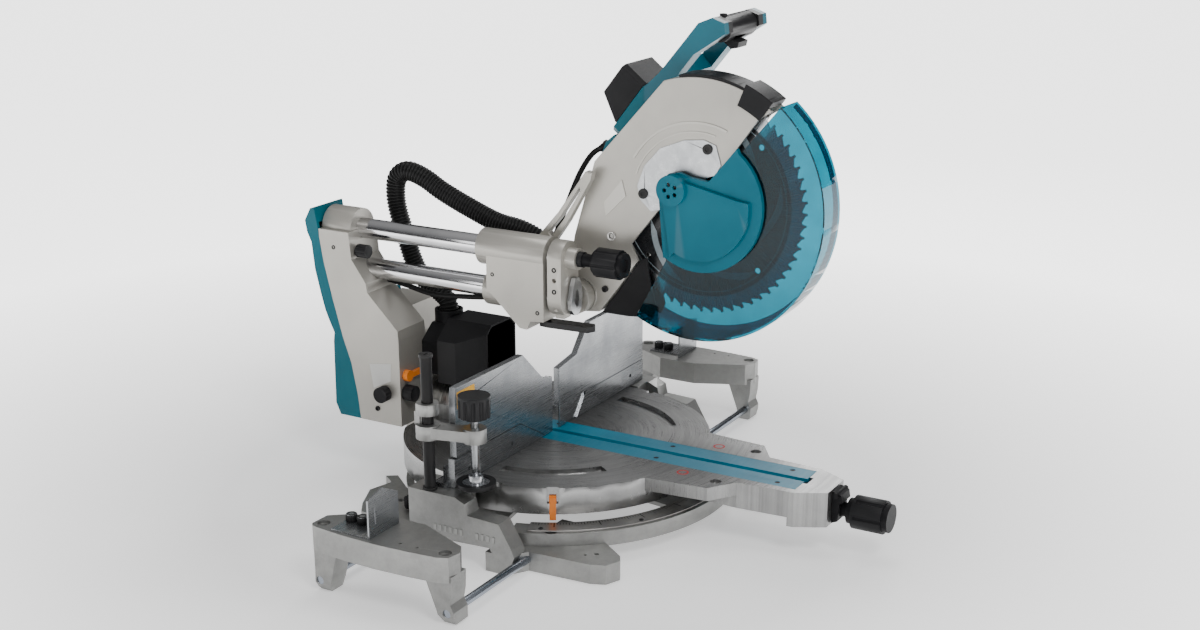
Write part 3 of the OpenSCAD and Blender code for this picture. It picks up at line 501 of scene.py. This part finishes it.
def socket_screw(bm, at, axis, r=4.2, h=4.0):
    """Cap screw with a hexagon socket; r and h are those of its head."""
    turned(bm, at, axis, [(r, -0.6, "c"), (r, h - 0.7, "c"), (r - 0.5, h, "c"), (r * 0.62, h, "c"),
                          (r * 0.5, h - 0.3, "h"), (r * 0.5, h - 2.2, "h")], 24)


def prism(bm, pts, axis, lo, hi):
    """Solid from an outline in mm in the plane across axis (0, 1 or 2)."""
    def p3(a, b, c):
        return Vector({0: (c, a, b), 1: (a, c, b), 2: (a, b, c)}[axis]) * MM
    lo_v = [bm.verts.new(p3(a, b, lo)) for a, b in pts]
    hi_v = [bm.verts.new(p3(a, b, hi)) for a, b in pts]
    n = len(pts)
    bm.faces.new(lo_v)
    bm.faces.new(list(reversed(hi_v)))
    for i in range(n):
        bm.faces.new((lo_v[i], hi_v[i], hi_v[(i + 1) % n], lo_v[(i + 1) % n]))


def smooth_path(p, k):
    out = []
    for i in range(len(p) - 1):
        a, b, c, d = p[max(i - 1, 0)], p[i], p[i + 1], p[min(i + 2, len(p) - 1)]
        for j in range(k):
            t = j / k
            out.append([0.5 * (2 * b[q] + (c[q] - a[q]) * t + (2 * a[q] - 5 * b[q] + 4 * c[q] - d[q]) * t * t
                               + (3 * b[q] - a[q] - 3 * c[q] + d[q]) * t ** 3) for q in range(3)])
    out.append(list(p[-1]))
    return [Vector(v) for v in out]


def resample(pts, step):
    """Points an equal step apart along the line, with tangents."""
    out, d, left = [pts[0].copy()], 0.0, step
    for a, b in zip(pts, pts[1:]):
        seg = (b - a).length
        pos = 0.0
        while seg - pos >= left:
            pos += left
            out.append(a.lerp(b, pos / seg))
            left = step
        left -= seg - pos
    if (out[-1] - pts[-1]).length > step * 0.3:
        out.append(pts[-1].copy())
    return out


def sweep(bm, pts, radius, n=20):
    """Closed tube along pts in mm; radius(i, s) gives the radius at point i, s mm along."""
    t = (pts[1] - pts[0]).normalized()
    u = t.cross(Vector((0.3, 0.2, 0.9))).normalized()
    rows, s = [], 0.0
    for i, p in enumerate(pts):
        nt = (pts[min(i + 1, len(pts) - 1)] - pts[max(i - 1, 0)]).normalized()
        u = (u - nt * u.dot(nt)).normalized()
        w = nt.cross(u)
        if i:
            s += (p - pts[i - 1]).length
        r = radius(i, s)
        turns = [2 * math.pi * j / n for j in range(n)]
        rows.append([bm.verts.new((p + (u * math.cos(a) + w * math.sin(a)) * r) * MM) for a in turns])
    for a, b in zip(rows, rows[1:]):
        for j in range(n):
            bm.faces.new((a[j], a[(j + 1) % n], b[(j + 1) % n], b[j]))
    bm.faces.new(list(reversed(rows[0])))
    bm.faces.new(rows[-1])


# ---------------------------------------------------------------- hose and cables
HOSE = [[8, 12, 341], [8, 12, 354], [7, 24, 378], [3, 56, 394], [0, 99, 402], [0, 146, 418],
        [0, 193, 437], [0, 226, 454], [0, 255, 461], [0, 274, 450], [0, 279, 427], [0, 276, 400],
        [0, 265, 366], [0, 252, 328], [0, 236, 302], [1, 212, 286], [2, 194, 272], [2, 190, 256],
        [2, 190, 242]]
PITCH = 5.0
line = resample(smooth_path(HOSE, 12), PITCH / 5)
total = sum((b - a).length for a, b in zip(line, line[1:]))


def hose_radius(i, s):
    if s < 12 or s > total - 12:
        return 14.9
    ph = (s % PITCH) / PITCH
    return 12.9 + 2.1 * (0.5 + 0.5 * math.cos(2 * math.pi * ph)) ** 0.7


bm = bmesh.new()
sweep(bm, line, hose_radius, 22)
hose = add("dust_hose_ribbed", bm, None, "black_rubber", True, 80)
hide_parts("dust_hose")
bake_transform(hose)



def cable(name, node, path):
    """Smooth 8 mm cable in place of its node, on a fixed curved path between two bodies."""
    bm = bmesh.new()
    sweep(bm, resample(smooth_path(path, 10), 3.0), lambda i, s: 3.95, 14)
    o = add(name, bm, None, "black_rubber", True, 60)
    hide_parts(node)
    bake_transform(o)


MOTOR_CABLE = [[-20, 2, 334], [-20, 2, 350], [-19, -3, 376], [-11, -12, 410], [6, -19, 446],
               [26, -26, 482], [40, -38, 508], [44, -55.5, 520]]
SUPPLY_CABLE = [[-50, 280, 306], [-50, 262, 306], [-50, 228, 301], [-50, 180, 294], [-48, 130, 297],
                [-44, 80, 303], [-35, 46, 315], [-34, 37, 316], [-34, 29, 316]]
cable("motor_cable_smooth", "motor_cable", MOTOR_CABLE)

# strain relief where the motor cable enters the gear case
bm = bmesh.new()
turned(bm, (44.6, -60.5, 523.4), (-0.19, 0.80, -0.57),
       [(7.0, -2, "c"), (7.0, 3, "c"), (5.8, 3.6, "c"), (5.2, 12, "c"), (4.6, 13, "c")], 20)
add("motor_cable_boot", bm, "head", "black_rubber")

cable("supply_cable_smooth", "supply_cable", SUPPLY_CABLE)


# ---------------------------------------------------------------- blade tips
bm = bmesh.new()
for i in range(TEETH):
    pts = []
    for da, r in ((-0.004, 145.5), (-0.004, 152.4), (0.018, 151.9), (0.018, 145.5)):
        a = 2 * math.pi * i / TEETH + da
        pts.append((SPINDLE[0] / MM + r * math.sin(a), SPINDLE[1] / MM + r * math.cos(a)))
    prism(bm, pts, 0, -1.45, 1.45)
add("blade_tips", bm, "arbor", "carbide", False)

# ---------------------------------------------------------------- screws and small fittings
LEFT, UP = (-1, 0, 0), (0, 0, 1)


def on_scale(deg):
    """Place on the miter scale's bolt circle."""
    return 255 * math.cos(math.radians(deg)), 255 * math.sin(math.radians(deg)), 48.3


sets = [
    # name, body, material, slot, screws: (at, axis, r, h)
    ("case_screws", "head", "socket", "black_steel", [((-20, -94, 333), LEFT, 4.5, 4)]),
    ("case_pin", "head", "nickel", "plain_steel", [((-20, -104.4, 410.4), LEFT, 6.5, 3.2)]),
    ("end_plate_screws", "arm", "socket", "black_steel", [((-92, -53, z), LEFT, 3.6, 1.2) for z in (371, 340)]),
    ("arm_screws", "arm", "socket", "black_steel",
     [((-106, 250, 120), LEFT, 4.0, 2.2), ((-106, 318, 360), LEFT, 3.2, 1.2)]),
    ("carriage_screws", "slider", "socket", "black_steel",
     [((-93, -26, 306), LEFT, 3.2, 1.0), ((-93, 48, 352), LEFT, 3.0, 1.0)]),
    ("fence_screws", "base", "socket", "black_steel",
     [((side * x, 24, 104), UP, 5.0, 5) for side in (-1, 1) for x in (250, 160)]),
    ("scale_screws", "base", "socket", "black_steel",
     [(on_scale(a), UP, 3.4, 1.4) for a in (206, 238, 270, 302, 334)]),
    ("motor_screws", "head", "socket", "black_steel", [((70, -160, 604), (0, 0.1, 1), 3.5, 3)]),
]
for name, body, mat, sl, items in sets:
    bm = bmesh.new()
    for at, axis, r, h in items:
        socket_screw(bm, at, axis, r, h)
    add(name, bm, body, mat)

# knurled sub-fence screws over the plain ones
for sx, side in ((-1, "left"), (1, "right")):
    bm = bmesh.new()
    for y in (36, 54):
        turned(bm, (sx * 428, y, 99.6), UP, [(7.2, 0, "c"), (7.4, 0.6, "k"), (7.4, 9.2, "k"), (6.8, 10.6, "c"),
                                             (4.0, 10.6, "c"), (3.6, 10.2, "h"), (3.6, 8.0, "h")], 48)
    add("sub_fence_screws_" + side, bm, "extension_" + side, "socket")

# raised ribs over each hand opening of the base
bm = bmesh.new()
for sx in (-1, 1):
    for i in range(12):
        y = 20 - i * 8.6
        if -46 < y < -28:
            continue
        x0, x1 = sorted((sx * 291.5, sx * 293.0))
        block(bm, x0, x1, y - 3.0, y + 1.6, 43, 52, 0.4)
add("base_grip_ribs", bm, "base", "cast_alloy", False)

# plain stickers, with no print
bm = bmesh.new()
prism(bm, [(-256, 209), (-256, 233), (-213, 233), (-213, 209)], 1, 1.75, 1.98)
add("fence_sticker", bm, "base", "label_yellow", False)
bm = bmesh.new()
prism(bm, [(222, 194.5), (224, 167), (256, 152), (262, 189)], 0, -106.35, -106.02)
add("arm_sticker", bm, "arm", "label_pale", False)
bm = bmesh.new()
for x in (-58, 58):
    loops = []
    for r, z in ((8.5, 97.02), (8.5, 97.2), (6.3, 97.2), (6.3, 97.02)):
        turns = [2 * math.pi * i / 40 for i in range(40)]
        loops.append([bm.verts.new(Vector((x + r * math.cos(a), -240 + r * math.sin(a), z)) * MM) for a in turns])
    for a, b in zip(loops, loops[1:] + loops[:1]):
        for i in range(40):
            bm.faces.new((a[i], a[(i + 1) % 40], b[(i + 1) % 40], b[i]))
add("table_rings", bm, "table", "label_red", False)


# ---------------------------------------------------------------- blade case relief
def arc_band(bm, cy, cz, r0, r1, a0, a1, x0, x1, n=40):
    """Raised band between two radii; angles in degrees up from the front."""
    turns = [math.radians(a0 + (a1 - a0) * i / n) for i in range(n + 1)]
    back = [math.radians(a1 + (a0 - a1) * i / n) for i in range(n + 1)]
    pts = [(cy - r * math.cos(a), cz + r * math.sin(a)) for r, arc in ((r1, turns), (r0, back)) for a in arc]
    prism(bm, pts, 0, x0, x1)


bm = bmesh.new()
arc_band(bm, -235, 468, 110, 113, 68, 150, -21.4, -19.9)
arc_band(bm, -235, 468, 98, 100, 75, 160, -21.0, -19.9)
prism(bm, [(-92, 457), (-120, 491), (-126.5, 469), (-95, 437.5)], 0, -21.2, -19.9)
add("case_relief", bm, "head", "silver_paint", True, 20)

# ---------------------------------------------------------------- stage
bm = bmesh.new()
bmesh.ops.create_grid(bm, x_segments=2, y_segments=2, size=14)
me = bpy.data.meshes.new("floor")
bm.to_mesh(me)
bm.free()
floor = bpy.data.objects.new("floor", me)
floor.location.z = -0.0006
bpy.context.scene.collection.objects.link(floor)
n = Nodes("floor_pale")
n.p.inputs["Emission Color"].default_value = rgb(1, 1, 1)
gs = n.xyz()
# the glow grows away from the saw, so that the background is white and the saw isn't lit from below
n.put(n.p.inputs["Emission Strength"], n.ramp(n.length(gs[0], gs[1]), 0.5, 1.6, 0.55, 2.8))
pale = n.mix(n.ramp(n.noise(3, 3), 0.3, 0.7), rgb(0.80, 0.80, 0.80), rgb(0.78, 0.78, 0.78))
me.materials.append(n.set(color=pale, rough=0.8, metal=0.0, spec=0.1))


def area(name, loc, target, size, power, size_y=None, color=(1, 1, 1)):
    l = bpy.data.lights.new(name, "AREA")
    l.energy, l.size, l.color = power, size, color
    if size_y:
        l.shape, l.size_y = "RECTANGLE", size_y
    o = bpy.data.objects.new(name, l)
    bpy.context.scene.collection.objects.link(o)
    o.location = loc
    o.rotation_mode = "QUATERNION"
    o.rotation_quaternion = (Vector(target) - Vector(loc)).to_track_quat("-Z", "Y")
    return o


C = (0, -0.05, 0.3)
area("key", (-1.5, -1.9, 2.3), C, 0.8, 38)
area("fill_left", (-2.4, 0.9, 1.2), C, 0.8, 5)
area("top", (0.2, 0.1, 2.8), C, 1.2, 18)
area("rim_right", (1.9, 0.2, 1.5), C, 0.6, 14, 1.4)
area("front_strip", (0.3, -2.6, 0.9), C, 0.3, 9, 1.6)

w = bpy.data.worlds.new("studio")
bpy.context.scene.world = w
w.use_nodes = True
t = w.node_tree
t.nodes.clear()
wo = t.nodes.new("ShaderNodeOutputWorld")
bg = t.nodes.new("ShaderNodeBackground")
tc = t.nodes.new("ShaderNodeTexCoord")
sx = t.nodes.new("ShaderNodeSeparateXYZ")
cr = t.nodes.new("ShaderNodeValToRGB")
t.links.new(tc.outputs["Generated"], sx.inputs[0])
t.links.new(sx.outputs[2], cr.inputs[0])
t.links.new(cr.outputs[0], bg.inputs[0])
t.links.new(bg.outputs[0], wo.inputs[0])
e = cr.color_ramp.elements
e[0].position, e[0].color = 0.0, (0.30, 0.30, 0.30, 1)
e[1].position, e[1].color = 1.0, (1, 1, 1, 1)
k = cr.color_ramp.elements.new(0.12)
k.color = (0.05, 0.052, 0.055, 1)
k = cr.color_ramp.elements.new(0.35)
k.color = (0.36, 0.36, 0.37, 1)
bg.inputs[1].default_value = 0.5
